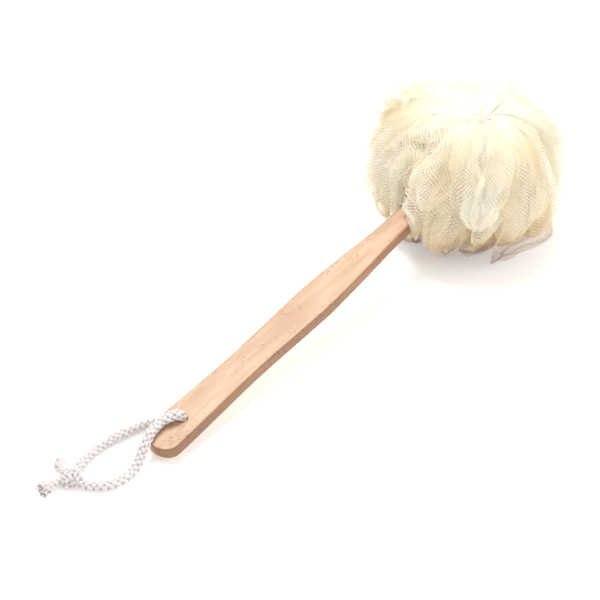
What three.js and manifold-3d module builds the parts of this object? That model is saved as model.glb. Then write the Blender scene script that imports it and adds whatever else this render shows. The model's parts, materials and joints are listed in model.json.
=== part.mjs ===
// Long-handled bath scrubber: a flat beech handle, a net pouf tied to its head, a cotton hanging cord.
// Millimetres, +Z up. It lies on z = 0 with the handle along X and the pouf at +X.
import * as THREE from 'three';
import { mergeVertices } from 'three/addons/utils/BufferGeometryUtils.js';
import Module from 'manifold-3d';

const wasm = await Module();
wasm.setup();

// ---- Driving sizes ----
const GAP = 0.3; // air between two pieces that touch

const HANDLE_THICKNESS = 10.5;
const HANDLE_EDGE = 1.5; // bevel along every edge of the handle
const HEAD_HOLE_STATION = 350; // butt end to the cross hole in the head
const HEAD_END = 12; // wood past the cross hole
const HEAD_HALF_WIDTH = 9;
const BUTT_HALF_WIDTH = 14.4;
const BUTT_ROUND = 11; // length of the half ellipse at the butt
const WAIST_STATION = 92;
const WAIST_HALF_WIDTH = 12.3;
const SWELL_STATION = 170;
const SWELL_HALF_WIDTH = 14.5;
const NECK_STATION = 252;
const NECK_HALF_WIDTH = 9.6;

const CORD_RADIUS = 3;
const CORD_HOLE_STATION = 30;
const CORD_HOLE_CLEARANCE = 0.7;
const CORD_SIDES = 10;
const CORD_STEPS = 32;
const KNOT_RADII = [7.6, 7.2, 6.2];
const FRAYED_RADIUS = 4.4;
const FRAYED_LENGTH = 9;

const TIE_RADIUS = 1.25;
const TIE_HOLE_CLEARANCE = 0.5;
const TIE_KNOT_RADIUS = 3.2;
const CORE_RADIUS = 7; // hollow round the tie, where the net is gathered

const POUF_RADIUS = 77;
const POUF_HALF_HEIGHT = 68;
const POUF_CENTRE_HEIGHT = 65.5; // less than the half height, so the underside lies flat
const NET_TUBES = 6;
const LOBES_PER_TUBE = 4;
const LOBE_RELIEF = 0.055; // depth of the valleys between lobes, as a share of the radius
const GATHER_DIMPLE = 0.13; // how far the top sinks towards the tie, as a share of the half height
const NET_CLEARANCE = 0.4;

const BUTT_LIFT = 4; // the cord runs under the butt and holds it this far up

// ---- Worked out from them ----
const MID = HANDLE_THICKNESS / 2;
const TILT = Math.asin((POUF_CENTRE_HEIGHT - BUTT_LIFT - MID) / HEAD_HOLE_STATION);
const CORD_HOLE_RADIUS = CORD_RADIUS + CORD_HOLE_CLEARANCE;
const TIE_HOLE_RADIUS = TIE_RADIUS + TIE_HOLE_CLEARANCE;

// The handle's own frame: stations along +X from the butt, +Z up from its underside.
const lying = new THREE.Matrix4().makeRotationY(-TILT).setPosition(0, 0, BUTT_LIFT);
const cordHole = new THREE.Vector3(CORD_HOLE_STATION, 0, MID).applyMatrix4(lying);
const poufCentre = new THREE.Vector3(HEAD_HOLE_STATION, 0, MID).applyMatrix4(lying);

// The hanging cord's two halves, as offsets from the middle of the cord hole, chosen by hand.
const CORD_OVER = [
  [0, 0, 0.2], [-0.8, 0, 5.2], [-1.9, 0.5, 8.2], [-4.8, 1.8, 10.2], [-8.8, 3.9, 9.7], [-14, 6.2, 7.9],
  [-21.8, 6.7, 5.6], [-29.4, 4.6, 4.2], [-35.6, 2.8, 0.6], [-41.5, 0.9, -5], [-50, -0.6, -9.6],
  [-60, -0.6, -10.9], [-69, 2.4, -10.9], [-76, 8.5, -10.8], [-80, 15, -10], [-83.4, 23, -8.2],
];
const CORD_UNDER = [
  [0, 0, -0.2], [0.85, 0, -5.2], [1.2, 0.8, -7.8], [0.6, 3.6, -10], [-0.9, 8, -10.9], [-3.2, 14, -10.9],
  [-7.2, 20, -10.9], [-12.6, 24.6, -10.9], [-19.6, 27.6, -10.9], [-31, 30.4, -10.9], [-43, 32.3, -10.9],
  [-55, 32.8, -10.9], [-66, 31.4, -10.9], [-74, 28.6, -10.3], [-83, 25.2, -8.4],
];
const KNOT_AT = [-84.3, 24.9, -7.7];
const TAIL_LONG = [[-84.3, 24.9, -7.7], [-90.5, 29.6, -8.9], [-98, 31.6, -9.5], [-101, 31.6, -9.5]];
const TAIL_SHORT = [[-84.3, 24.9, -7.7], [-82.6, 33, -9], [-80.4, 38.5, -9.5]];

// ---- Helpers ----
function solid(geometry) {
  const bare = geometry.clone();
  bare.deleteAttribute('normal');
  bare.deleteAttribute('uv');
  const merged = mergeVertices(bare, 1e-4);
  return new wasm.Manifold(new wasm.Mesh({
    numProp: 3,
    vertProperties: new Float32Array(merged.attributes.position.array),
    triVerts: new Uint32Array(merged.index.array),
  }));
}

function geometryOf(manifold) {
  const mesh = manifold.getMesh();
  const geometry = new THREE.BufferGeometry();
  geometry.setAttribute('position', new THREE.BufferAttribute(mesh.vertProperties, 3));
  geometry.setIndex(new THREE.BufferAttribute(mesh.triVerts, 1));
  return geometry;
}

function post(radius, height, sides, x, y, z) {
  return new THREE.CylinderGeometry(radius, radius, height, sides).rotateX(Math.PI / 2).translate(x, y, z);
}

function tube(points, radius, sides, steps) {
  const curve = new THREE.CatmullRomCurve3(points, false, 'centripetal');
  const section = new THREE.Shape().absarc(0, 0, radius, 0, 2 * Math.PI);
  return new THREE.ExtrudeGeometry(section, { steps, curveSegments: sides, extrudePath: curve });
}

// ---- Handle ----
// The outline runs from the round butt through waist, swell and neck to the round head.
// grow widens it, for the room that the net leaves round the wood.
function handleOutline(grow) {
  const side = [
    [BUTT_ROUND + 12, BUTT_HALF_WIDTH],
    [WAIST_STATION - 36, (BUTT_HALF_WIDTH + WAIST_HALF_WIDTH) / 2],
    [WAIST_STATION, WAIST_HALF_WIDTH],
    [(WAIST_STATION + SWELL_STATION) / 2, (WAIST_HALF_WIDTH + SWELL_HALF_WIDTH) / 2],
    [SWELL_STATION, SWELL_HALF_WIDTH],
    [(SWELL_STATION + NECK_STATION) / 2, (SWELL_HALF_WIDTH + NECK_HALF_WIDTH) / 2 + 0.6],
    [NECK_STATION, NECK_HALF_WIDTH],
    [HEAD_HOLE_STATION, HEAD_HALF_WIDTH],
  ];
  const lower = side.map(([x, w]) => new THREE.Vector2(x, -w - grow));
  const upper = side.map(([x, w]) => new THREE.Vector2(x, w + grow)).reverse();
  const outline = new THREE.Shape();
  outline.moveTo(BUTT_ROUND, -BUTT_HALF_WIDTH - grow);
  outline.splineThru(lower);
  outline.absellipse(HEAD_HOLE_STATION, 0, HEAD_END + grow, HEAD_HALF_WIDTH + grow, -Math.PI / 2, Math.PI / 2);
  outline.splineThru(upper.slice(1));
  outline.lineTo(BUTT_ROUND, BUTT_HALF_WIDTH + grow);
  outline.absellipse(BUTT_ROUND, 0, BUTT_ROUND + grow, BUTT_HALF_WIDTH + grow, Math.PI / 2, 1.5 * Math.PI);
  return outline;
}

function handle() {
  const outline = handleOutline(0);
  outline.holes.push(new THREE.Path().absarc(CORD_HOLE_STATION, 0, CORD_HOLE_RADIUS, 0, 2 * Math.PI));
  outline.holes.push(new THREE.Path().absarc(HEAD_HOLE_STATION, 0, TIE_HOLE_RADIUS, 0, 2 * Math.PI));
  const plank = new THREE.ExtrudeGeometry(outline, {
    depth: HANDLE_THICKNESS - 2 * HANDLE_EDGE,
    curveSegments: 10,
    bevelThickness: HANDLE_EDGE,
    bevelSize: HANDLE_EDGE,
    bevelOffset: -HANDLE_EDGE,
    bevelSegments: 2,
  });
  return plank.translate(0, 0, HANDLE_EDGE).applyMatrix4(lying);
}

// ---- Tie: a thin cord through the cross hole and round the end of the head, knotted on top ----
function tieLine() {
  const out = HEAD_END + GAP + TIE_RADIUS + 0.8;
  const below = -(GAP + TIE_RADIUS + 0.6);
  const above = HANDLE_THICKNESS - below;
  const knotted = HANDLE_THICKNESS + 2.4 * TIE_KNOT_RADIUS;
  return [[1.4, 0, knotted], [0, 0, above + 0.4], [0, 0, MID], [0, 0, -0.6], [1.4, 0, below - 0.8], [5, 0, below - 0.4],
    [out - 2.2, 0, below], [out, 0, MID], [out - 2.2, 0, above], [5, 0, above + 1.5], [2.6, 0, knotted]]
    .map(([x, y, z]) => new THREE.Vector3(HEAD_HOLE_STATION + x, y, z).applyMatrix4(lying));
}

function tieKnot(grow) {
  const centre = new THREE.Vector3(HEAD_HOLE_STATION + 2, 0, HANDLE_THICKNESS + 2.4 * TIE_KNOT_RADIUS);
  return new THREE.SphereGeometry(TIE_KNOT_RADIUS + grow, 12, 8).translate(...centre.toArray())
    .applyMatrix4(lying);
}

// ---- Pouf: net tubes gathered at the middle, each filling one segment of the ball ----
// Radius over azimuth a and polar angle p: 1 - relief (1 - |sin(n a / 2)|) sin p, with the top drawn in.
function lobedBall() {
  const lobes = NET_TUBES * LOBES_PER_TUBE;
  const ball = new THREE.SphereGeometry(1, lobes * 4, 15).rotateX(Math.PI / 2);
  const position = ball.attributes.position;
  const point = new THREE.Vector3();
  for (let i = 0; i < position.count; i += 1) {
    point.fromBufferAttribute(position, i);
    const azimuth = Math.atan2(point.y, point.x);
    const polar = Math.acos(THREE.MathUtils.clamp(point.z, -1, 1));
    const valley = 1 - Math.abs(Math.sin(azimuth * lobes / 2));
    const radius = 1 - LOBE_RELIEF * valley * Math.sin(polar);
    const dimple = 1 - GATHER_DIMPLE * Math.exp(-((polar / 0.4) ** 2));
    position.setXYZ(i, point.x * radius, point.y * radius, point.z * dimple);
  }
  ball.scale(POUF_RADIUS, POUF_RADIUS, POUF_HALF_HEIGHT);
  return ball.translate(poufCentre.x, poufCentre.y, poufCentre.z);
}

// What the net keeps clear of: the handle, the tie's core and everything below the surface it lies on.
function keptClear() {
  const wood = new THREE.ExtrudeGeometry(handleOutline(NET_CLEARANCE), {
    depth: HANDLE_THICKNESS + 2 * NET_CLEARANCE,
    curveSegments: 10,
    bevelEnabled: false,
  }).translate(0, 0, -NET_CLEARANCE).applyMatrix4(lying);
  const coreHeight = HANDLE_THICKNESS + 8 * TIE_KNOT_RADIUS;
  const core = post(CORE_RADIUS, coreHeight, 24, HEAD_HOLE_STATION + 3, 0, MID).applyMatrix4(lying);
  const reach = 4 * POUF_RADIUS;
  const loopRoom = new THREE.BoxGeometry(HEAD_END + 8, 2 * TIE_RADIUS + 2, HANDLE_THICKNESS + 12)
    .translate(HEAD_HOLE_STATION + (HEAD_END + 8) / 2, 0, MID).applyMatrix4(lying);
  const below = new THREE.BoxGeometry(reach, reach, reach).translate(poufCentre.x, 0, -reach / 2);
  return solid(wood).add(solid(core)).add(solid(loopRoom)).add(solid(below));
}

function segment(index) {
  const span = 2 * Math.PI / NET_TUBES;
  const from = index * span;
  const to = from + span;
  const reach = 2 * POUF_RADIUS;
  const inset = GAP / 2 / Math.sin(span / 2);
  const apex = [inset * Math.cos(from + span / 2), inset * Math.sin(from + span / 2)];
  const wedge = new THREE.Shape();
  wedge.moveTo(apex[0], apex[1]);
  wedge.lineTo(apex[0] + reach * Math.cos(from), apex[1] + reach * Math.sin(from));
  wedge.lineTo(apex[0] + reach * Math.cos(to), apex[1] + reach * Math.sin(to));
  wedge.closePath();
  return new THREE.ExtrudeGeometry(wedge, { depth: 3 * POUF_HALF_HEIGHT, bevelEnabled: false })
    .translate(poufCentre.x, poufCentre.y, -POUF_HALF_HEIGHT / 2);
}

// ---- Hanging cord ----
function fromHole(offsets) {
  return offsets.map(([x, y, z]) => new THREE.Vector3(x, y, z).add(cordHole));
}

function cordKnot(grow) {
  const [x, y, z] = fromHole([KNOT_AT])[0].toArray();
  return new THREE.SphereGeometry(1, 16, 10)
    .scale(KNOT_RADII[0] + grow, KNOT_RADII[1] + grow, KNOT_RADII[2] + grow)
    .rotateZ(0.5).translate(x, y, z);
}

function cordHalf(offsets) {
  const rope = tube(fromHole(offsets), CORD_RADIUS, CORD_SIDES, CORD_STEPS);
  return geometryOf(solid(rope).subtract(solid(cordKnot(GAP))));
}

// A cut end: the cord runs straight and opens into a short frayed cone.
function cordTail(offsets) {
  const points = fromHole(offsets);
  const end = points[points.length - 1];
  const along = end.clone().sub(points[points.length - 2]).setZ(0).normalize();
  const turn = new THREE.Quaternion().setFromUnitVectors(new THREE.Vector3(0, 1, 0), along);
  const frayed = new THREE.CylinderGeometry(FRAYED_RADIUS, CORD_RADIUS, FRAYED_LENGTH, CORD_SIDES)
    .translate(0, FRAYED_LENGTH / 2 - 1, 0).applyQuaternion(turn).translate(end.x, end.y, end.z);
  const rope = tube(points, CORD_RADIUS, CORD_SIDES, 8);
  return geometryOf(solid(rope).add(solid(frayed)).subtract(solid(cordKnot(GAP))));
}

// ---- Assembly ----
const beech = { color: 0xf2cfae, roughness: 0.55, metalness: 0 };
const netting = { color: 0xf6efd6, roughness: 0.6, metalness: 0 };
const cotton = { color: 0xf4efe9, roughness: 0.95, metalness: 0 };
const nylon = { color: 0xf5f3ee, roughness: 0.5, metalness: 0 };

const model = new THREE.Group();
const cords = new THREE.Group();

function place(parent, name, geometry, finish) {
  const mesh = new THREE.Mesh(geometry, new THREE.MeshStandardMaterial(finish));
  mesh.name = name;
  parent.add(mesh);
}

place(model, 'handle', handle(), beech);
const tieLoop = solid(tube(tieLine(), TIE_RADIUS, 8, 30)).subtract(solid(tieKnot(GAP)));
place(model, 'tie_cord', geometryOf(tieLoop), nylon);
place(model, 'tie_knot', tieKnot(0), nylon);

const clear = keptClear();
const ball = solid(lobedBall()).subtract(clear);
for (let index = 0; index < NET_TUBES; index += 1) {
  place(model, `net_tube_${index + 1}`, geometryOf(ball.intersect(solid(segment(index)))), netting);
}

place(cords, 'hanging_cord_upper', cordHalf(CORD_OVER), cotton);
place(cords, 'hanging_cord_lower', cordHalf(CORD_UNDER), cotton);
place(cords, 'hanging_cord_knot', cordKnot(0), cotton);
place(cords, 'hanging_cord_tail_long', cordTail(TAIL_LONG), cotton);
place(cords, 'hanging_cord_tail_short', cordTail(TAIL_SHORT), cotton);

// The origin is under the middle of the scrubber, measured without its cord.
const footprint = new THREE.Box3().setFromObject(model).getCenter(new THREE.Vector3());
const scrubber = new THREE.Group();
scrubber.add(model, cords);
scrubber.position.set(-footprint.x, -footprint.y, 0);

export default scrubber;
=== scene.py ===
import json
import math

import bpy
import numpy as np
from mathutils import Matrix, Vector


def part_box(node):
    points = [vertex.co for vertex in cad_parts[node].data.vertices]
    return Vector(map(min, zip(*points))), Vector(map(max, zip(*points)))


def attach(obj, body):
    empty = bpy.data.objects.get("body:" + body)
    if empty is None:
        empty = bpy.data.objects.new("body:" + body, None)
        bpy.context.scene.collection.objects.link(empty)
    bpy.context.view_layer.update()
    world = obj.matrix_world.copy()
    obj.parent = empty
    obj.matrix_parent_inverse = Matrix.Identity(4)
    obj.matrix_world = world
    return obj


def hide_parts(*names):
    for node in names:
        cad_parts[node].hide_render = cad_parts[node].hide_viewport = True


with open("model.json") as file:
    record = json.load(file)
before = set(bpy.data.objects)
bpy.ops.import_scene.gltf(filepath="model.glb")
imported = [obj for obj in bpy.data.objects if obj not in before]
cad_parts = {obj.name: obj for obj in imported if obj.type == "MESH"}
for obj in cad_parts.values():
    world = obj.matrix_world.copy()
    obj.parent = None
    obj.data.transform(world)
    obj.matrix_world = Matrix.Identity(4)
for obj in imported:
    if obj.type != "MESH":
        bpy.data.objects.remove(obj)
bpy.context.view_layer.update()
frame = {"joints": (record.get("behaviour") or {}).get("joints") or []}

# ---- Places worked out from the frame, in metres ----
swing = frame["joints"][0]
HOLE = np.array(swing["pos_m"])  # middle of the cord hole
UP = np.array(swing["axis"])  # the handle's flat faces look along this
ALONG = np.array([UP[2], 0.0, -UP[0]])  # from butt to head
ACROSS = np.array([0.0, 1.0, 0.0])
first_low, first_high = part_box("net_tube_1")
third_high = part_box("net_tube_3")[1]
core_x = (first_low[0] + third_high[0]) / 2  # the first and third tubes mirror each other in X about the middle
core_s = (core_x - HOLE[0]) / ALONG[0]  # from the cord hole along the handle
CORE = HOLE + core_s * ALONG  # middle of the pouf, where the net is tied
POUF_RADIUS = first_high[0] - core_x

# ---- Sizes of the fine surfaces, in metres ----
HANDLE_THICKNESS = 0.0105
HANDLE_EDGE = 0.0013  # rounding along the handle's edges, more towards its head
HOLE_RADIUS = 0.0037
HOLE_RIM = 0.0009  # rounding of the cord hole's two rims
BUTT_TO_HOLE = 0.030
HEAD_PAST_TIE = 0.012
CORD_WIDTH = 0.0074
CORD_LAY = 0.0184  # length in which a strand goes once round the cord
FRAY_YARNS = 84
FRAY_YARN_RADIUS = 0.00062
CORD_REST = 0.0036  # height of a cord's middle where it lies on the table
NET_CELL = (0.0021, 0.0029)  # width and length of a diamond of net
NET_CLEAR = 0.0003  # height at which net is pressed flat on the table


# ---- Meshes from whole arrays ----
def grid(rows, cols, ring_rows=False, ring_cols=False):
    """Quads of a rows x cols grid of points, and each corner's row and column, counted on past a seam."""
    r = np.arange(rows if ring_rows else rows - 1)
    c = np.arange(cols if ring_cols else cols - 1)
    r, c = np.meshgrid(r, c, indexing="ij")
    steps = ((0, 0), (0, 1), (1, 1), (1, 0))
    corners = np.stack([np.stack([r + a, c + b], -1) for a, b in steps], 2).reshape(-1, 4, 2)
    return (corners[..., 0] % rows) * cols + corners[..., 1] % cols, corners


def make_piece(name, points, faces, material, uv=None, marks=None):
    """A mesh object from points and a list of face arrays, smooth, with corner UVs and named point values."""
    mesh = bpy.data.meshes.new(name)
    listed = [f for block in faces for f in block.tolist()]
    mesh.from_pydata(points.tolist(), [], listed)
    mesh.polygons.foreach_set("use_smooth", np.ones(len(mesh.polygons), bool))
    if uv is not None:
        layer = mesh.uv_layers.new(name="cloth")
        layer.data.foreach_set("uv", uv.astype(np.float32).ravel())
    for key, values in (marks or {}).items():
        mark = mesh.attributes.new(key, "FLOAT", "POINT")
        mark.data.foreach_set("value", values.astype(np.float32).ravel())
    mesh.materials.append(material)
    made = bpy.data.objects.new(name, mesh)
    bpy.context.scene.collection.objects.link(made)
    return made


def step_up(x, low, high):
    t = np.clip((x - low) / (high - low), 0, 1)
    return t * t * (3 - 2 * t)


def smooth_route(points, step):
    """A centripetal Catmull-Rom curve through points, as points about step apart."""
    p = np.asarray(points, float)
    p = np.vstack([2 * p[0] - p[1], p, 2 * p[-1] - p[-2]])
    out = []
    for a, b, c, d in zip(p[:-3], p[1:-2], p[2:-1], p[3:]):
        ta = 0.0
        tb = ta + math.sqrt(np.linalg.norm(b - a))
        tc = tb + math.sqrt(np.linalg.norm(c - b))
        td = tc + math.sqrt(np.linalg.norm(d - c))
        t = np.linspace(tb, tc, 24, endpoint=False)[:, None]
        ab = (tb - t) / (tb - ta) * a + (t - ta) / (tb - ta) * b
        bc = (tc - t) / (tc - tb) * b + (t - tb) / (tc - tb) * c
        cd = (td - t) / (td - tc) * c + (t - tc) / (td - tc) * d
        abc = (tc - t) / (tc - ta) * ab + (t - ta) / (tc - ta) * bc
        bcd = (td - t) / (td - tb) * bc + (t - tb) / (td - tb) * cd
        out.append((tc - t) / (tc - tb) * abc + (t - tb) / (tc - tb) * bcd)
    line = np.vstack([*out, p[-2][None]])
    length = np.concatenate([[0], np.cumsum(np.linalg.norm(np.diff(line, axis=0), axis=1))])
    count = max(4, int(round(length[-1] / step)) + 1)
    even = np.linspace(0, length[-1], count)
    return np.stack([np.interp(even, length, line[:, k]) for k in range(3)], 1), even


def frames_along(line):
    """Two unit vectors across a line at each point, carried along it without twist."""
    tangent = np.gradient(line, axis=0)
    tangent /= np.linalg.norm(tangent, axis=1)[:, None]
    side = np.cross(tangent[0], [0.31, 0.87, 0.38])
    sides = []
    for t in tangent:
        side = side - t * (side @ t)
        side = side / np.linalg.norm(side)
        sides.append(side)
    sides = np.array(sides)
    return sides, np.cross(tangent, sides)


def tube_points(line, radius, sides, first, second):
    """Rings of sides points round a line: line + radius (first cos a + second sin a)."""
    a = np.linspace(0, 2 * np.pi, sides, endpoint=False)
    radius = np.broadcast_to(radius, (len(line), sides))[..., None]
    ring = first[:, None] * np.cos(a)[None, :, None] + second[:, None] * np.sin(a)[None, :, None]
    return line[:, None] + radius * ring


def capped_tubes(name, tubes, material, around, marks=None):
    """One piece from several rings x sides x 3 arrays, each closed at both ends by a fan. UVs run round and
    along: around is a width, or for each tube the cloth's place at each side. Marks hold values for each
    tube's points."""
    points, faces, uvs, start = [], [], [], 0
    for n, t in enumerate(tubes):
        rings, sides = t.shape[:2]
        body, corners = grid(rings, sides, ring_cols=True)
        length = np.concatenate([[0], np.cumsum(np.linalg.norm(np.diff(t, axis=0), axis=2).mean(1))])
        place = around[n] if isinstance(around, list) else np.linspace(0, around, sides + 1)
        points += [t.reshape(-1, 3), t[0].mean(0)[None], t[-1].mean(0)[None]]
        low, high = start + rings * sides, start + rings * sides + 1
        k = np.arange(sides)
        head = np.stack([np.full(sides, low), start + (k + 1) % sides, start + k], 1)
        last = start + (rings - 1) * sides
        tail = np.stack([np.full(sides, high), last + k, last + (k + 1) % sides], 1)
        faces += [body + start, head, tail]
        uvs.append(np.stack([place[corners[..., 1]], length[corners[..., 0]]], -1).reshape(-1, 2))
        for tip, third in ((length[0], (k, k + 1, k)), (length[-1], (k, k, k + 1))):
            uvs.append(np.stack([place[np.stack(third, 1)].ravel(), np.full(3 * sides, tip)], 1))
        start = high + 1
    ends = {key: np.concatenate([np.concatenate([v.ravel(), [1.0, v.ravel()[-1]]]) for v in values])
            for key, values in (marks or {}).items()}
    return make_piece(name, np.vstack(points), faces, material, np.vstack(uvs), ends)


def on_the_table(points, clear=0.0002):
    """Points that would sink are pressed flat: z becomes clear + softplus(z - clear) with a 0.3 mm bend."""
    bend = 0.0003
    out = points.copy()
    out[..., 2] = clear + bend * np.logaddexp(0, (points[..., 2] - clear) / bend)
    return out


# ---- Nodes for materials ----
class Shade:
    """Short calls for one material's nodes."""

    def __init__(self, name):
        self.material = bpy.data.materials.new(name)
        self.material.use_nodes = True
        self.tree = self.material.node_tree
        self.tree.nodes.clear()
        self.out = self.tree.nodes.new("ShaderNodeOutputMaterial")

    def node(self, kind, settings=None, **inputs):
        """A node with its settings. Inputs go by name, with _ for a space, or by number as i0, i1 and so on."""
        made = self.tree.nodes.new(kind)
        for key, value in (settings or {}).items():
            setattr(made, key, value)
        for key, value in inputs.items():
            numbered = key[0] == "i" and key[1:].isdigit()
            socket = made.inputs[int(key[1:]) if numbered else key.replace("_", " ")]
            if isinstance(value, bpy.types.NodeSocket):
                self.tree.links.new(value, socket)
            else:
                socket.default_value = value
        return made

    def math(self, operation, a, b=0.0, c=0.0):
        return self.node("ShaderNodeMath", {"operation": operation}, i0=a, i1=b, i2=c).outputs[0]

    def ramp(self, value, stops):
        made = self.node("ShaderNodeValToRGB", i0=value)
        while len(made.color_ramp.elements) < len(stops):
            made.color_ramp.elements.new(0.5)
        for element, (at, color) in zip(made.color_ramp.elements, stops):
            element.position = at
            element.color = (*color, 1)
        return made.outputs[0]

    def mix(self, factor, a, b, blend="MIX"):
        made = self.node("ShaderNodeMix", {"data_type": "RGBA", "blend_type": blend})
        for index, value in ((0, factor), (6, a), (7, b)):
            if isinstance(value, bpy.types.NodeSocket):
                self.tree.links.new(value, made.inputs[index])
            else:
                made.inputs[index].default_value = value if index == 0 else (*value, 1)
        return made.outputs[2]

    def noise(self, vector, scale, detail=3.0, roughness=0.5):
        return self.node("ShaderNodeTexNoise", None, Vector=vector, Scale=scale, Detail=detail,
                         Roughness=roughness).outputs[0]

    def mapping(self, vector, scale, place=(0, 0, 0), turn=(0, 0, 0)):
        return self.node("ShaderNodeMapping", None, Vector=vector, Scale=scale, Location=place,
                         Rotation=turn).outputs[0]

    def finish(self, shader):
        self.tree.links.new(shader, self.out.inputs["Surface"])
        return self.material


def linear(r, g, b):
    """A colour read off a screen, 0 to 255, as linear light."""
    c = np.array([r, g, b]) / 255
    return tuple(np.where(c <= 0.04045, c / 12.92, ((c + 0.055) / 1.055) ** 2.4))


# ---- Materials ----
def beech():
    """Pale beech: fine straight grain along the handle, faint bands, short brown rays, thin matt varnish, and a
    painted shade that darkens its sides.
    """
    s = Shade("beech")
    place = s.node("ShaderNodeTexCoord").outputs["Object"]
    turned = s.mapping(place, (1, 1, 1), tuple(-CORE), (0, -math.asin(-UP[0]), 0))
    fibres = s.noise(s.mapping(turned, (6, 460, 420)), 1.0, 5.0, 0.6)
    bands = s.noise(s.mapping(turned, (1.3, 130, 60), (3, 1, 7)), 1.0, 3.0, 0.5)
    slanted = s.mapping(s.mapping(turned, (1, 1, 1), (0, 0, 0), (0, 0, math.radians(38))), (210, 620, 200))
    rays = s.node("ShaderNodeTexVoronoi", {"feature": "F1"}, Vector=slanted, Scale=1.0,
                  Randomness=1.0).outputs["Distance"]
    fleck = s.node("ShaderNodeMapRange", None, i0=rays, i1=0.16, i2=0.34, i3=1.0, i4=0.0).outputs[0]
    patch = s.noise(s.mapping(turned, (26, 110, 60), (5, 2, 1)), 1.0, 1.0)
    here = s.node("ShaderNodeMapRange", None, i0=patch, i1=0.50, i2=0.58).outputs[0]
    fleck = s.math("MULTIPLY", fleck, here)
    wood = s.ramp(bands, [(0.34, linear(184, 150, 121)), (0.5, linear(196, 163, 135)),
                          (0.66, linear(209, 179, 150))])
    streak = s.node("ShaderNodeMapRange", None, i0=fibres, i1=0.40, i2=0.68).outputs[0]
    wood = s.mix(s.math("MULTIPLY", streak, 0.5), wood, linear(194, 154, 126))
    wood = s.mix(s.math("MULTIPLY", fleck, 0.75), wood, linear(140, 104, 80))
    # Painted shade: where the value 'side' is high, at the handle's rounded outer edges, the wood is darkened and
    # browned as if turned from the light.
    side = s.node("ShaderNodeAttribute", {"attribute_name": "side"}).outputs["Fac"]
    edge = s.math("MINIMUM", s.math("MULTIPLY", side, 1.6), 1.0)
    wood = s.mix(edge, wood, linear(190, 163, 136), "MULTIPLY")
    rough = s.math("MULTIPLY_ADD", fibres, 0.22, 0.38)
    height = s.math("SUBTRACT", fibres, fleck)
    bump = s.node("ShaderNodeBump", None, Strength=0.25, Distance=0.0002, Height=height)
    shader = s.node("ShaderNodeBsdfPrincipled", None, Base_Color=wood, Roughness=rough,
                    Normal=bump.outputs[0])
    shader.inputs["Coat Weight"].default_value = 0.12
    shader.inputs["Coat Roughness"].default_value = 0.35
    return s.finish(shader.outputs[0])


def cotton(name, tint):
    """Soft spun cotton, also used for the twine: fine yarns that wind round each strand, with a fuzzy sheen. The
    yarns are darker where their bump is low, a painted shade in the grooves, and the cotton is darker still by
    painted shade where its shade value is high."""
    s = Shade(name)
    uv = s.node("ShaderNodeTexCoord").outputs["UV"]
    x, y, _ = s.node("ShaderNodeSeparateXYZ", None, i0=uv).outputs
    yarn = s.math("ADD", s.math("MULTIPLY", x, 900.0), s.math("MULTIPLY", y, 780.0))
    twist = s.math("PINGPONG", yarn, 0.5)
    place = s.node("ShaderNodeTexCoord").outputs["Object"]
    lint = s.noise(place, 2600.0, 3.0, 0.7)
    soil = s.noise(place, 120.0, 2.0)
    # Painted shade: the yarns' colour follows their bump height, darker in the grooves between them.
    yarn_groove_shade = s.math("ADD", s.math("MULTIPLY", twist, 0.9), s.math("MULTIPLY", lint, 0.5))
    colour = s.ramp(yarn_groove_shade, [(0.15, linear(*(0.88 * np.array(tint)))), (0.75, linear(*tint))])
    colour = s.mix(s.math("MULTIPLY", soil, 0.12), colour, linear(214, 204, 196))
    # Painted shade: darker and greyer where the shade value is high, in the crevices between a cord's strands.
    deep = s.node("ShaderNodeAttribute", {"attribute_name": "deep"}).outputs["Fac"]
    painted_crevice_shade = s.node("ShaderNodeMapRange", None, i0=deep, i1=0.0, i2=0.5).outputs[0]
    colour = s.mix(painted_crevice_shade, colour, linear(208, 196, 198), "MULTIPLY")
    height = s.math("ADD", s.math("MULTIPLY", twist, 1.2), s.math("MULTIPLY", lint, 0.8))
    bump = s.node("ShaderNodeBump", None, Strength=0.55, Distance=0.0004, Height=height)
    shader = s.node("ShaderNodeBsdfPrincipled", None, Base_Color=colour, Normal=bump.outputs[0])
    shader.inputs["Roughness"].default_value = 0.92
    shader.inputs["Specular IOR Level"].default_value = 0.2
    shader.inputs["Sheen Weight"].default_value = 0.35
    shader.inputs["Sheen Roughness"].default_value = 0.6
    return s.finish(shader.outputs[0])


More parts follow.
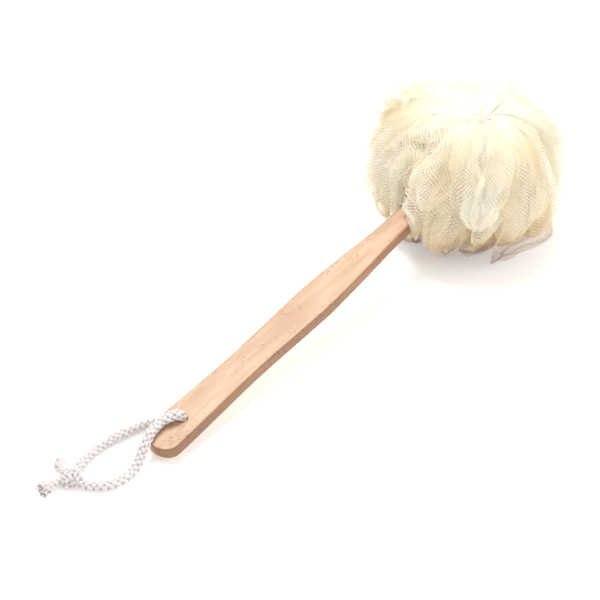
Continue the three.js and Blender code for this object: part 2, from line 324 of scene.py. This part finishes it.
def netting(name, tint, shade, glow, strand):
    """Diamond net of thin strands: two families of slanting lines on the cloth's UVs are the strands, each
    2 * strand of the way to the next, and the rest is open. It closes up where the value 'gather' is high, and
    takes the painted shade colours of shade where its shade value is high. Light that comes through it is
    coloured by glow."""
    s = Shade(name)
    uv = s.node("ShaderNodeTexCoord").outputs["UV"]
    x, y, _ = s.node("ShaderNodeSeparateXYZ", None, i0=uv).outputs
    wave = s.math("MULTIPLY", s.math("SINE", s.math("MULTIPLY", y, 240.0)), 0.22)
    x = s.math("ADD", s.math("DIVIDE", x, NET_CELL[0]), wave)
    y = s.math("DIVIDE", y, NET_CELL[1])
    gather = s.node("ShaderNodeAttribute", {"attribute_name": "gather"}).outputs["Fac"]
    half = s.math("MULTIPLY_ADD", gather, 0.30, strand)
    covers = []
    for turn in ("ADD", "SUBTRACT"):
        off = s.math("PINGPONG", s.math(turn, x, y), 0.5)
        soft = s.math("DIVIDE", s.math("SUBTRACT", half, off), 0.07)
        covers.append(s.math("MINIMUM", s.math("MAXIMUM", s.math("ADD", soft, 0.5), 0.0), 1.0))
    strands = s.math("MAXIMUM", *covers)
    place = s.node("ShaderNodeTexCoord").outputs["Object"]
    cloud = s.noise(place, 38.0, 3.0, 0.55)
    colour = s.ramp(cloud, [(0.3, linear(*tint)), (0.7, linear(*(np.array(tint) * [1.0, 0.99, 0.96])))])
    # Painted shade: the colours of shade, darker and browner as the shade value rises, for inner layers,
    # undersides of folds and net near the table.
    deep = s.node("ShaderNodeAttribute", {"attribute_name": "deep"}).outputs["Fac"]
    painted_shade_colours = s.ramp(deep, [(at, linear(*c)) for at, c in shade])
    colour = s.mix(1.0, colour, painted_shade_colours, "MULTIPLY")
    shader = s.node("ShaderNodeBsdfPrincipled", None, Base_Color=colour)
    shader.inputs["Roughness"].default_value = 0.42
    shader.inputs["Specular IOR Level"].default_value = 0.35
    shader.inputs["Sheen Weight"].default_value = 0.15
    through = s.node("ShaderNodeBsdfTranslucent", None, Color=(*linear(*glow), 1))
    cloth = s.node("ShaderNodeMixShader", None, i0=0.22, i1=shader.outputs[0], i2=through.outputs[0])
    open_air = s.node("ShaderNodeBsdfTransparent")
    both = s.node("ShaderNodeMixShader", None, i0=strands, i1=open_air.outputs[0], i2=cloth.outputs[0])
    return s.finish(both.outputs[0])


def glowing_pale_floor():
    """The pale sheet that the scrubber lies on, with a faint tooth. It glows a little: a painted light that lifts
    the shadows on it and lights the scrubber from below.
    """
    s = Shade("pale_floor")
    place = s.node("ShaderNodeTexCoord").outputs["Object"]
    tooth = s.noise(place, 6.0, 2.0)
    colour = s.ramp(tooth, [(0.3, linear(250, 250, 249)), (0.7, linear(253, 253, 252))])
    shader = s.node("ShaderNodeBsdfPrincipled", None, Base_Color=colour)
    shader.inputs["Roughness"].default_value = 0.9
    shader.inputs["Specular IOR Level"].default_value = 0.1
    # Painted light: the floor glows, so its shadows stay pale.
    shader.inputs["Emission Color"].default_value = (1, 1, 1, 1)
    shader.inputs["Emission Strength"].default_value = 0.32
    return s.finish(shader.outputs[0])


WOOD = beech()
ROPE = cotton("white_cotton", (233, 228, 227))
FRAY = cotton("cotton_ends", (236, 229, 226))
TIE = cotton("nylon_twine", (247, 245, 238))
# The net's painted shade colours, from white at no shade to brown at full shade.
NET = netting("cream_net", (254, 253, 248), (
    (0.0, (255, 255, 255)), (0.3, (254, 249, 232)), (0.52, (245, 229, 188)), (0.76, (214, 183, 147)),
    (1.0, (138, 101, 80))), (255, 252, 240), 0.10)

# ---- Hanging cord: the plain solids' route, as offsets from the middle of the hole, in metres ----
CORD_OVER = 0.001 * np.array([
    [0, 0, 0.2], [-0.8, 0, 5.2], [-1.9, 0.5, 8.2], [-4.8, 1.8, 10.2], [-8.8, 3.9, 9.7], [-14, 6.2, 7.9],
    [-21.8, 6.7, 5.6], [-29.4, 4.6, 4.2], [-35.6, 2.8, 0.6], [-41.5, 0.9, -5], [-50, -0.6, -9.6],
    [-60, -0.6, -10.9], [-69, 2.4, -10.9], [-76, 8.5, -10.8], [-80, 15, -10], [-83.4, 23, -8.2],
])
CORD_UNDER = 0.001 * np.array([
    [0, 0, -0.2], [0.85, 0, -5.2], [1.2, 0.8, -7.8], [0.6, 3.6, -10], [-0.9, 8, -10.9], [-3.2, 14, -10.9],
    [-7.2, 20, -10.9], [-12.6, 24.6, -10.9], [-19.6, 27.6, -10.9], [-31, 30.4, -10.9], [-43, 32.3, -10.9],
    [-55, 32.8, -10.9], [-66, 31.4, -10.9], [-74, 28.6, -10.3], [-83, 25.2, -8.4],
])
KNOT = 0.001 * np.array([-84.3, 24.9, -7.7])
TAIL_LONG = 0.001 * np.array([[-86.5, 26.5, -8], [-91, 29.6, -8.9], [-98, 31.6, -9.3], [-106, 31.4, -9.6]])
TAIL_SHORT = 0.001 * np.array([[-83.8, 27.6, -8], [-82.6, 33, -9], [-80.4, 39, -9.6], [-78.6, 44, -10]])


def sunk(tubes, line, width):
    """For each tube's points, 0 on the outside of the cord to 1 at its middle: the painted shade in the crevices
    between strands.
    """
    out = [np.linalg.norm(t - line[:len(t), None], axis=2) for t in tubes]
    return [1 - np.clip(away / (0.52 * width), 0, 1) for away in out]


def braided(line, at, width, seed):
    """Eight strands of a round braid: four wind one way, at 0.28 widths from the line, and four the other way,
    each 0.37 widths thick. They rise and dip by 0.07 widths, so that each passes over one strand and under the
    next, and each swells and shifts a little at random. The cord is drawn in where it goes through its hole."""
    first, second = frames_along(line)
    turn = 2 * np.pi * at / CORD_LAY
    inside = np.linalg.norm(line - HOLE, axis=1)
    width = width * (0.84 + 0.16 * step_up(inside, 0.004, 0.010))
    rng = np.random.default_rng(seed)
    tubes = []
    for way in (1, -1):
        for k in range(4):
            loose = sum(rng.uniform(0.3, 1) * np.sin(at / rng.uniform(0.0006, 0.0022) + rng.uniform(0, 6))
                        for _ in range(4))
            a = way * turn + k * np.pi / 2 + 0.05 * loose
            rise = way * np.cos(4 * turn)
            far = (width * (0.28 + 0.07 * rise + 0.012 * loose))[:, None]
            centre = line + far * (first * np.cos(a)[:, None] + second * np.sin(a)[:, None])
            across, over = frames_along(centre)
            plump = (0.185 * width * (1 + 0.14 * rise + 0.05 * loose))[:, None]
            tubes.append(on_the_table(tube_points(centre, plump, 10, across, over)))
    return tubes


def cord_line(offsets):
    """The cord's middle: the route, bent smoothly to stay a cord's half width above the table."""
    bend = 0.0006
    line, at = smooth_route(HOLE + offsets, 0.0006)
    line[:, 2] = CORD_REST + bend * np.logaddexp(0, (line[:, 2] - CORD_REST) / bend)
    return line, at


def cord_half(name, offsets, node):
    line, at = cord_line(offsets)
    tubes = braided(line, at, CORD_WIDTH, len(name))
    # Painted shade in the crevices between strands, darker deeper in the cord.
    made = capped_tubes(name, tubes, ROPE, 0.007, {"deep": sunk(tubes, line, CORD_WIDTH)})
    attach(made, "hanging_loop")
    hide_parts(node)
    return made, line, float(at[-1])


def cord_knot():
    """An overhand knot drawn tight: a cord wound nearly twice round the two ends, in a flattened helix."""
    axis = np.array([-0.80, 0.60, 0.0])
    side = np.array([0.60, 0.80, 0.0])
    t = np.linspace(-1, 1, 130)
    a = 1.9 * np.pi * t + 0.4
    swell = 0.0042 * (1 - 0.18 * t ** 2)
    line = (HOLE + KNOT + np.outer(0.0052 * t + 0.0008 * np.sin(2 * a), axis)
            + np.outer(swell * np.cos(a), side) + np.outer(0.82 * swell * np.sin(a), [0, 0, 1]))
    at = np.concatenate([[0], np.cumsum(np.linalg.norm(np.diff(line, axis=0), axis=1))])
    tubes = braided(line, at, 0.92 * CORD_WIDTH, 3)
    # Painted shade in the crevices between strands, darker deeper in the cord.
    made = capped_tubes("cord_knot", tubes, ROPE, 0.007, {"deep": sunk(tubes, line, CORD_WIDTH)})
    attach(made, "hanging_loop")
    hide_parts("hanging_cord_knot")
    return made


def frayed_tail(name, offsets, node, seed, splay):
    """The cord's end: the braid runs part of the way, and soft curling yarns come out of it and spread."""
    rng = np.random.default_rng(seed)
    line, at = cord_line(offsets)
    first, second = frames_along(line)
    t = at / at[-1]
    braid = int(0.62 * len(line))
    tubes = braided(line[:braid], at[:braid], 0.95 * CORD_WIDTH, seed)
    for k in range(FRAY_YARNS):
        begin = int(len(line) * rng.uniform(0.35, 0.55))
        stop = int(len(line) * rng.uniform(0.80, 1.0))
        ring = 0.42 * CORD_WIDTH * math.sqrt((k + 0.5) / FRAY_YARNS)
        loose = np.clip((t - 0.5) / 0.5, 0, 1)
        a = 2.4 * k + rng.uniform(-1.6, 1.6) * loose
        away = ring * (1 + splay * loose * rng.uniform(0.5, 1.1))
        curl = 0.0011 * loose * np.sin(rng.uniform(14, 30) * t + rng.uniform(0, 6))
        centre = (line + (away * np.cos(a) + curl)[:, None] * first
                  + (away * np.sin(a) - curl)[:, None] * second)
        centre = centre[begin:stop]
        across, over = frames_along(centre)
        thick = FRAY_YARN_RADIUS * (1 + 0.2 * np.sin(np.linspace(0, 9, len(centre)) + k))[:, None]
        tubes.append(on_the_table(tube_points(centre, thick, 6, across, over)))
    made = capped_tubes(name, tubes, FRAY, 0.003)
    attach(made, "hanging_loop")
    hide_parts(node)
    return made


cord_over, over_line, over_length = cord_half("cord_over", CORD_OVER, "hanging_cord_upper")
cord_under, under_line, under_length = cord_half("cord_under", CORD_UNDER, "hanging_cord_lower")
on_cord = [
    cord_knot(),
    frayed_tail("cord_tail_long", TAIL_LONG, "hanging_cord_tail_long", 5, 1.5),
    frayed_tail("cord_tail_short", TAIL_SHORT, "hanging_cord_tail_short", 8, 0.6),
]


# ---- Handle ----
def half_width(s):
    """Half the handle's width at station s from the butt: a smooth run through butt, waist, swell and neck."""
    stations = 0.001 * np.array([-20, 11, 23, 56, 92, 131, 170, 211, 252, 300, 350, 400])
    widths = 0.001 * np.array([14.4, 14.4, 14.4, 13.35, 12.3, 13.4, 14.5, 12.65, 9.6, 9.2, 9.0, 9.0])
    fine = np.linspace(stations[0], stations[-1], 1200)
    run = np.interp(fine, stations, widths)
    kernel = np.hanning(85)
    run = np.convolve(np.pad(run, 42, mode="edge"), kernel / kernel.sum(), mode="valid")
    return np.interp(s, fine, run)


def handle_outline(count):
    """Points round the handle from above: a half ellipse at the butt, the two sides, a half ellipse head."""
    length = BUTT_TO_HOLE + core_s + HEAD_PAST_TIE
    butt, head = 0.011, HEAD_PAST_TIE
    s = butt + (length - head - butt) * (0.5 - 0.5 * np.cos(np.linspace(0, np.pi, count)) * 0.35
                                         + 0.325 * (np.linspace(-1, 1, count)))
    s = np.clip((s - s.min()) / (s.max() - s.min()), 0, 1) * (length - head - butt) + butt
    w = half_width(s)
    a = np.linspace(-np.pi / 2, np.pi / 2, count // 3)[1:-1]
    near = np.stack([s, -w], 1)
    tip = np.stack([s[-1] + head * np.cos(a), w[-1] * np.sin(a)], 1)
    far = np.stack([s, w], 1)[::-1]
    back = np.stack([s[0] - butt * np.cos(a), w[0] * np.sin(-a)], 1)
    return np.vstack([near, tip, far, back])


def wooden_handle():
    """The board as one closed band: it runs down the cord hole's wall, out over the underside, up the rounded
    edge, and back in over the top to the hole. Each row of points goes round hole and outline alike."""
    outline = handle_outline(90)
    step = np.roll(outline, -1, 0) - np.roll(outline, 1, 0)
    normal = np.stack([step[:, 1], -step[:, 0]], 1)
    normal /= np.linalg.norm(normal, axis=1)[:, None]
    centre = np.array([BUTT_TO_HOLE, 0.0])
    ray = outline - centre
    ray /= np.linalg.norm(ray, axis=1)[:, None]
    station = outline[:, 0]
    edge = HANDLE_EDGE * (1 + 1.1 * np.clip((station - 0.17) / 0.12, 0, 1))
    rows = []
    for top in (False, True):
        band = []
        a = np.linspace(0, np.pi / 2, 7)
        for k in a:
            ring = centre + ray * (HOLE_RADIUS + HOLE_RIM * (1 - math.cos(k)))
            band.append((ring, HOLE_RIM * (1 - math.sin(k)) * np.ones(len(ring))))
        inner, outer = band[-1][0], outline - normal * edge[:, None]
        for k in (0.12, 0.3, 0.5, 0.7, 0.88):
            band.append((inner * (1 - k) + outer * k, np.zeros(len(inner))))
        for k in a:
            ring = outline - normal * (edge * (1 - math.sin(k)))[:, None]
            band.append((ring, edge * (1 - math.cos(k))))
        if top:
            rows += [(ring, HANDLE_THICKNESS - depth) for ring, depth in reversed(band)]
        else:
            rows += band
    count = len(rows) // 2
    # The value 'side' is 1 on the flat of the board's outer edge and 0 six rows off. It marks where the wood gets
    # painted shade.
    side = np.array([max(0.0, 1 - min(abs(n - count + 0.5) - 0.5, 6.0) / 6.0) for n in range(len(rows))])
    points = np.stack([np.concatenate([ring, z[:, None]], 1) for ring, z in rows])
    flat = points.reshape(-1, 3)
    origin = HOLE - BUTT_TO_HOLE * ALONG - HANDLE_THICKNESS / 2 * UP
    world = origin + flat[:, :1] * ALONG + flat[:, 1:2] * ACROSS + flat[:, 2:] * UP
    quads, _ = grid(len(rows), len(outline), True, True)
    marks = {"side": np.repeat(side, len(outline))}
    made = make_piece("beech_handle", world, [quads[:, ::-1]], WOOD, None, marks)
    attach(made, "scrubber")
    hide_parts("handle")


wooden_handle()

# ---- Nylon tie: the plain solid's route, in metres along the handle and up from the cross hole's middle ----
TIE_ROUTE = 0.001 * np.array([
    [1.4, 12.93], [0, 7.8], [0, 0], [0, -5.85], [1.4, -8.2], [5, -7.8], [12.15, -7.4], [14.35, 0], [12.15, 7.4],
    [5, 8.9], [2.6, 12.93],
])
TIE_RADIUS = 0.00125
TIE_LAY = 0.0085  # length in which a ply goes once round the tie
PLY_OUT = 0.53  # a ply's distance from the tie's middle, as a share of its radius
PLY_RADIUS = 0.47  # and the ply's own radius


def twisted(line, at):
    """Three round plies side by side, each wound round the line once in a lay."""
    first, second = frames_along(line)
    tubes = []
    for k in range(3):
        a = (2 * np.pi * (at / TIE_LAY + k / 3))[:, None]
        ply = line + PLY_OUT * TIE_RADIUS * (first * np.cos(a) + second * np.sin(a))
        across, over = frames_along(ply)
        tubes.append(tube_points(ply, PLY_RADIUS * TIE_RADIUS, 10, across, over))
    return tubes


def nylon_tie():
    """The twisted tie, and its knot: one and a half turns wound round the handle's direction."""
    loop, at = smooth_route(CORE + TIE_ROUTE[:, :1] * ALONG + TIE_ROUTE[:, 1:] * UP, 0.0005)
    t = np.linspace(-1, 1, 60)[:, None]
    a = 1.5 * np.pi * t
    knot = (CORE + 0.002 * ALONG + TIE_ROUTE[0, 1] * UP + 0.0018 * t * ALONG
            + 0.0017 * (np.cos(a) * ACROSS + np.sin(a) * UP))
    knot_at = np.linspace(0, 0.017, len(t))
    parts = (("nylon_tie", loop, at, "tie_cord"), ("nylon_tie_knot", knot, knot_at, "tie_knot"))
    for name, line, place, node in parts:
        made = capped_tubes(name, twisted(line, place), TIE, 0.004)
        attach(made, "scrubber")
        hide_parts(node)


nylon_tie()

# ---- Net pouf ----
TUBES = 6
LOBES = 4  # lobes of a tube's walls round its share of the pouf
CENTRE_HEIGHT = 0.0655
HALF_HEIGHT = 0.070
# Rows of a tube's outer folds, from the inside out: how many, the least and greatest share of the way down that
# they reach, and their share of the pouf's size.
FOLD_ROWS = ((4, 0.72, 0.88, 0.89), (4, 0.60, 0.76, 0.94), (3, 0.44, 0.68, 1.0), (1, 0.20, 0.36, 1.0),
             (1, 0.58, 0.80, 1.03))
VEILED = (0, 1, 2, 5)  # tubes that have the last row, a veil: one loose fold of wide open net
# Walls of net: crest and valley as shares of the pouf's size, narrowing, wrinkle height in metres, and columns
# a lobe.
WALLS = ((0.89, 0.62, 0.00, 0.0013, 30), (0.84, 0.58, 0.14, 0.0010, 30), (0.72, 0.50, 0.30, 0.0012, 16),
         (0.56, 0.38, 0.30, 0.0010, 14))
FOLD_TOP = 0.012  # share of the way down at which folds begin
FOLD_THICK = 0.0066
FOLD_WIDTHS = (0.018, 0.033)
SHORT_ROW_WIDER = 0.006  # added to those in the outer rows, whose folds are short
VEIL_WIDER = 0.018  # and to a veil's
OVER_HANDLE = 0.17  # radians from the handle's azimuth within which a fold lies on the wood
OVER_HANDLE_TIP = 0.47  # share of the way down past which such a fold doesn't reach
BY_HANDLE = 0.6  # radians within which a fold is kept clear of the wood
# Painted shade: the shade value rises by the second number between the two heights, darker towards the table and
# a little darker towards the top.
LOW, LOW_SHADE = (0.0, 0.068), 0.9
HIGH, HIGH_SHADE = (0.080, 0.112), 0.14
# Painted shade on a veil's strands, which look darker, as if shadowed, against the floor.
VEIL_SHADE = 0.64
VEIL_LOW_LIGHT = 0.5  # taken off a veil's shade near the table


def drift(rng, count, v, reach):
    """Smooth random runs along v, one a row: cosines of four lengths, the longer ones higher."""
    out = np.zeros((count, len(v)))
    for j in range(1, 5):
        high = rng.normal(0, 1, (count, 1)) / j
        out += high * np.cos(np.pi * j * v + rng.uniform(0, 2 * np.pi, (count, 1)))
    return reach * out / 1.2


def skin(azimuth, a, share):
    """Points of the pouf at an azimuth, at angle a down from its top, at a share of its size. Its outside swells
    and sinks gently, and the middle of top and bottom is drawn in. Shares draw together towards the top and
    bottom, and the top's middle sits to one side."""
    big = 1 + 0.034 * np.sin(3 * azimuth + 2.2 * a + 0.4) + 0.030 * np.sin(5 * azimuth - 3.1 * a + 2.0)
    big = big - 0.05 * np.clip(np.cos(azimuth + 0.82), 0, 1) ** 2 * np.sin(a) ** 2
    big = big - 0.05 * np.clip(np.cos(azimuth - 0.1), 0, 1) ** 3 * np.exp(-((a - 0.85) / 0.45) ** 2)
    out_r = POUF_RADIUS * 0.985 * np.sin(a) * big
    drawn = 0.016 * np.exp(-(a / 0.30) ** 2) - 0.010 * np.exp(-((np.pi - a) / 0.22) ** 2)
    out_z = np.where(a < np.pi / 2, HALF_HEIGHT, HALF_HEIGHT + 0.003) * np.cos(a) * (0.5 + 0.5 * big) - drawn
    share_z = 1 - (1 - share) * np.abs(np.sin(a)) ** 0.8
    r = 0.0006 + out_r * share
    aside = np.clip(np.cos(a), 0, 1) ** 2 + 0 * r
    return np.stack([core_x - 0.0068 * aside + r * np.cos(azimuth), -0.0104 * aside + r * np.sin(azimuth),
                     CENTRE_HEIGHT + out_z * share_z], -1)


def side_line(k, v):
    """Azimuth, less k sixths of a turn, of the crease between tubes k - 1 and k: straight at the handle, and
    wandering elsewhere."""
    k = k % TUBES
    sway = drift(np.random.default_rng([41, k]), 1, v, 0.075)[0]
    return sway * (0.0 if k == 3 else 1.0)


def net_wall(k, wall, v):
    """One wall of tube k as rows x columns x 3. Across, phase runs -pi..pi over each lobe: height between valley
    and crest is ((1 + cos phase) / 2) ** power, and the sides swell out so that neighbours touch over a narrow
    neck. Also each point's height, and the cloth's place across."""
    crest, valley, pinch, wrinkle, cols = WALLS[wall]
    rng = np.random.default_rng([9, k])
    weight = np.exp(drift(rng, LOBES, v, 0.30))
    reach = 1 + drift(rng, LOBES, v, 0.045)
    power = rng.uniform(0.42, 0.85, LOBES)
    edges = np.concatenate([np.zeros((1, len(v))), np.cumsum(weight, 0)]) / weight.sum(0)
    u = np.linspace(0, LOBES, LOBES * cols + 1)
    i = np.minimum(u.astype(int), LOBES - 1)
    f = u - i
    phase = 2 * np.pi * f - np.pi
    left, right = edges[i].T, edges[i + 1].T
    h = np.clip((1 + np.cos(phase)) / 2, 0, 1) ** power[i] * np.ones((len(v), 1))
    swell = f - (0.215 - 0.02 * wall) * np.sin(2 * np.pi * f)
    swell = 0.5 + (swell - 0.5) * (1 - pinch * h)
    share = left + (right - left) * swell
    start = k * 2 * np.pi / TUBES + side_line(k, v)
    end = (k + 1) * 2 * np.pi / TUBES + side_line(k + 1, v)
    v = v[:, None]
    azimuth = start[:, None] + (end - start)[:, None] * share
    lean = 0.15 * np.sin(2 * azimuth + 4 * v + 0.6) + 0.09 * np.sin(5 * azimuth - 6 * v + 1.1)
    calm = np.sin(np.pi * np.clip(v, 0, 1))
    azimuth = azimuth + lean * h ** 2 * calm
    run = rng.uniform(0, 6, 6)
    cloth = u * 0.013
    a = np.pi * v
    crease = np.sin(2 * np.pi * cloth / 0.0085 + 2.5 * np.sin(7 * v + run[0] + azimuth * 3) + run[1])
    crease = crease + 0.6 * np.sin(2 * np.pi * cloth / 0.0047 + 3 * np.sin(9 * v + run[2]) + run[3] + wall)
    crease = crease + 0.8 * np.sin(46 * v + 3 * np.sin(azimuth * 7 + run[4]) + u * 2.2)
    level = valley + (crest - valley) * h * reach[i].T + wrinkle / POUF_RADIUS * crease * np.sin(a) ** 0.5
    return skin(azimuth, a, level), h * np.sin(a) ** 0.3, cloth * crest


def fold(rng, azimuth, tip, width, level, lean, flare):
    """A fold of net that hangs over the pouf, rows x columns x 3: a flat bag from the gather down to the angle
    pi * tip, narrow above and round below. Its section is a loop, bowed over the pouf, with pleats from the
    gather, and its top is shifted past the gather, so that folds cross there. Also its gather and painted shade
    values, the shade darker on the bag's side towards the pouf, and the cloth's place round it."""
    s = np.linspace(0, 1, 58)[:, None]
    q = np.linspace(0, 2 * np.pi, 64, endpoint=False)[None, :]
    a = np.pi * (FOLD_TOP + (tip - FOLD_TOP) * s)
    grow = step_up(s, -0.1, rng.uniform(0.50, 0.72))
    round_at = rng.uniform(0.58, 0.74)
    close = np.sqrt(np.clip(1 - np.clip((s - round_at) / (1 - round_at), 0, 1) ** 2.3, 0, 1))
    close[-1] = 0.02
    half = width / 2 * (0.10 + 0.90 * grow) * close
    thick = FOLD_THICK * (0.15 + 0.85 * grow) * close * rng.uniform(0.8, 1.3)
    x = np.cos(q) * (1 + 0.10 * np.sin(3 * q + rng.uniform(0, 6)))
    pleat = np.sin(rng.uniform(5, 8) * x + rng.uniform(0, 6) + 1.5 * np.sin(5 * s + rng.uniform(0, 6)))
    ripple = np.sin(rng.uniform(16, 26) * s + 2.2 * x + rng.uniform(0, 6)) * grow
    edge = np.abs(np.cos(q)) ** 4
    wave = np.sin(rng.uniform(16, 30) * s + np.where(np.cos(q) > 0, 0, 2) + rng.uniform(0, 6))
    bow = rng.uniform(-0.12, 0.50) * half * x ** 2
    relief = 0.0017 * pleat + 0.0009 * ripple + 0.0028 * edge * wave
    out = thick * np.sin(q) - bow + relief * (0.3 + 0.7 * grow)
    out = out + flare * step_up(s, 0.5, 1.0)
    middle = azimuth + lean * s ** 1.5 + 0.05 * np.sin(4 * s + rng.uniform(0, 6)) * s
    points = skin(middle, a, level + 0 * q)
    spread = half * x * (1 + 0.10 * edge * wave)
    flat = np.maximum(np.hypot(points[..., 0] - core_x, points[..., 1]), 0.006)
    points = skin(middle + np.clip(spread / flat, -0.9, 0.9), a, level + out / POUF_RADIUS)
    cloth = np.linspace(0, 2.1 * width, q.shape[1] + 1)
    gather = np.maximum(1 - step_up(s, 0.0, 0.40), np.abs(np.cos(q)) ** 22)
    near = np.exp(-(a / 0.45) ** 2)
    back, aside = rng.uniform(-0.001, 0.008), rng.normal(0, 0.003)
    points[..., 0] -= near * (back * math.cos(azimuth) - aside * math.sin(azimuth))
    points[..., 1] -= near * (back * math.sin(azimuth) + aside * math.cos(azimuth))
    # Painted shade: the side of the bag towards the pouf is darker, except along its edges.
    return points, gather, 0.40 * (1 - np.sin(q)) * (1 - edge) + 0 * s, cloth


def clear_of_handle(points, side):
    """Points beside the handle are pushed out along Y: |y| becomes a smooth greater of |y| and the half width
    + 1.2 mm. With side 0 they are pushed up off its top."""
    local = points - (HOLE - BUTT_TO_HOLE * ALONG)
    s, t = local @ ALONG, local @ UP
    head = BUTT_TO_HOLE + core_s + HEAD_PAST_TIE
    past = 1 - step_up(s, head + 0.001, head + 0.012)
    thick = HANDLE_THICKNESS / 2
    bend = 0.0012
    out = points.copy()
    if side:
        near = (1 - step_up(np.abs(t), thick + 0.001, thick + 0.009)) * past
        least = (half_width(s) + 0.0012) * near
        y = side * points[..., 1]
        pushed = least + bend * np.logaddexp(0, (y - least) / bend)
        out[..., 1] = side * (y + (pushed - y) * np.minimum(near * 3, 1))
    else:
        near = (1 - step_up(np.abs(points[..., 1]), half_width(s) + 0.002, half_width(s) + 0.012)) * past
        least = thick + 0.0008 - 0.02 * (1 - near)
        pushed = least + bend * np.logaddexp(0, (t - least) / bend)
        out += ((pushed - t) * (near > 0))[..., None] * UP
    return out


def net_tube(k):
    """A tube of net, gathered: its walls run across and back in one closed band that fills its share of the pouf,
    and its outer folds hang over that in rows, the longer ones underneath."""
    v = np.linspace(0.002, 0.985, 100)
    walls, marks, around, at = [], [], [], 0.0
    for wall in range(len(WALLS)):
        points, depth, cloth = net_wall(k, wall, v)
        if wall % 2:
            points, depth, cloth = points[:, ::-1], depth[:, ::-1], cloth[-1] - cloth[::-1]
        walls.append(points[:, :-1])
        marks.append(1 - depth[:, :-1])
        around.append(at + cloth[:-1])
        at += cloth[-1]
    points = np.concatenate(walls, 1)
    if k in (2, 3):
        points = clear_of_handle(points, 1 if k == 2 else -1)
    tubes = [on_the_table(points, NET_CLEAR)]
    arounds = [np.concatenate([*around, [at]])]
    gathers = [np.concatenate(marks, 1) ** 1.5]
    # Painted shade on the walls: more on each wall further in and in the valleys between lobes, most round the
    # middle height and none at top and bottom.
    inside = np.concatenate([0.12 + 0.18 * n + 0.5 * m for n, m in enumerate(marks)], 1)
    painted_shades = [inside * np.sin(np.pi * v[:, None])]
    rng = np.random.default_rng([23, k])
    for row, (count, short, long, level) in enumerate(FOLD_ROWS if k in VEILED else FOLD_ROWS[:-1]):
        veil = row == len(FOLD_ROWS) - 1
        for j in range(count):
            azimuth = (k + (j + 0.5 * row + 0.25) / count) * 2 * np.pi / TUBES + rng.uniform(-0.06, 0.06)
            tip = rng.uniform(short, long)
            wider = SHORT_ROW_WIDER if row > 1 else 0.0
            width = rng.uniform(*FOLD_WIDTHS) + wider + (VEIL_WIDER if veil else 0.0)
            share = level + rng.uniform(-0.03, 0.03) * (0.4 if veil else 1.0)
            off = azimuth - np.pi
            side = 0 if abs(off) < OVER_HANDLE else int(-np.sign(off))
            if side == 0:
                tip = min(tip, OVER_HANDLE_TIP)
            made, gather, deep, cloth = fold(rng, azimuth, tip, width, share, rng.uniform(-0.4, 0.4),
                                             rng.uniform(-0.002, 0.006))
            if abs(off) < BY_HANDLE:
                made = clear_of_handle(made, side)
            # A veil's strands get painted shade, grey-brown as if in shadow, rising from a sixth to half of the
            # way down, with some taken off near the table.
            if veil:
                gather = 0.4 * gather - 0.10
                down = np.linspace(0, 1, len(made))[:, None]
                deep = (0.3 * deep + VEIL_SHADE) * step_up(down, 0.15, 0.52)
                deep = deep - VEIL_LOW_LIGHT * (1 - step_up(made[..., 2], *LOW))
            tubes.append(on_the_table(made, NET_CLEAR))
            gathers.append(gather)
            # Painted shade under the outer rows: the two inner rows of folds are darker.
            painted_shades.append(deep + 0.10 * max(0, 2 - row))
            arounds.append(cloth)
    # Painted shade by height: darker towards the table and a little darker towards the top.
    painted_shades = [d + LOW_SHADE * (1 - step_up(t[..., 2], *LOW)) + HIGH_SHADE * step_up(t[..., 2], *HIGH)
             for d, t in zip(painted_shades, tubes)]
    made = capped_tubes(f"net_{k + 1}", tubes, NET, arounds, {"gather": gathers, "deep": painted_shades})
    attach(made, "scrubber")
    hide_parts(f"net_tube_{k + 1}")


for tube in range(TUBES):
    net_tube(tube)

# ---- Floor, light and camera ----
FLOOR_HALF = 6.0
floor_grid, _ = grid(2, 2)
floor_points = np.array([[x, y, 0.0] for x in (-FLOOR_HALF, FLOOR_HALF) for y in (-FLOOR_HALF, FLOOR_HALF)])
floor = make_piece("floor", floor_points, [floor_grid[:, ::-1]], glowing_pale_floor())


def soft_lamp(name, place, aim, size, power, colour):
    data = bpy.data.lights.new(name, "AREA")
    data.shape = "DISK"
    data.size = size
    data.energy = power
    data.color = colour
    lamp = bpy.data.objects.new(name, data)
    bpy.context.scene.collection.objects.link(lamp)
    lamp.location = place
    lamp.rotation_euler = (Vector(aim) - Vector(place)).to_track_quat("-Z", "Y").to_euler()


world = bpy.data.worlds.new("studio")
bpy.context.scene.world = world
world.use_nodes = True
sky = world.node_tree.nodes["Background"]
sky.inputs["Color"].default_value = (1.0, 0.995, 0.985, 1)
sky.inputs["Strength"].default_value = 0.50
soft_lamp("key", (-0.05, 0.36, 1.48), (0.05, 0.0, 0.03), size=0.8, power=24.0, colour=(1.0, 0.99, 0.97))
soft_lamp("fill", (0.5, -1.1, 0.9), (0.1, 0.0, 0.05), size=1.0, power=8.5, colour=(1.0, 0.98, 0.96))

CAMERA_AZIMUTH = math.radians(47.13)
CAMERA_ELEVATION = math.radians(42.46)
CAMERA_DISTANCE = 1.0676
AIM = np.array([-0.0446, 0.0148, 0.030])
view_line = np.array([math.sin(CAMERA_AZIMUTH) * math.cos(CAMERA_ELEVATION),
                      math.cos(CAMERA_AZIMUTH) * math.cos(CAMERA_ELEVATION), -math.sin(CAMERA_ELEVATION)])
camera_data = bpy.data.cameras.new("camera")
camera_data.lens = 85
camera_data.sensor_width = 36
camera = bpy.data.objects.new("camera", camera_data)
bpy.context.scene.collection.objects.link(camera)
camera.location = AIM - CAMERA_DISTANCE * view_line
camera.rotation_euler = Vector(view_line).to_track_quat("-Z", "Y").to_euler()
bpy.context.scene.camera = camera
bpy.context.scene.view_settings.view_transform = "Standard"
bpy.context.scene.cycles.transparent_max_bounces = 32
bpy.context.scene.cycles.max_bounces = 16
bpy.context.scene.cycles.diffuse_bounces = 5
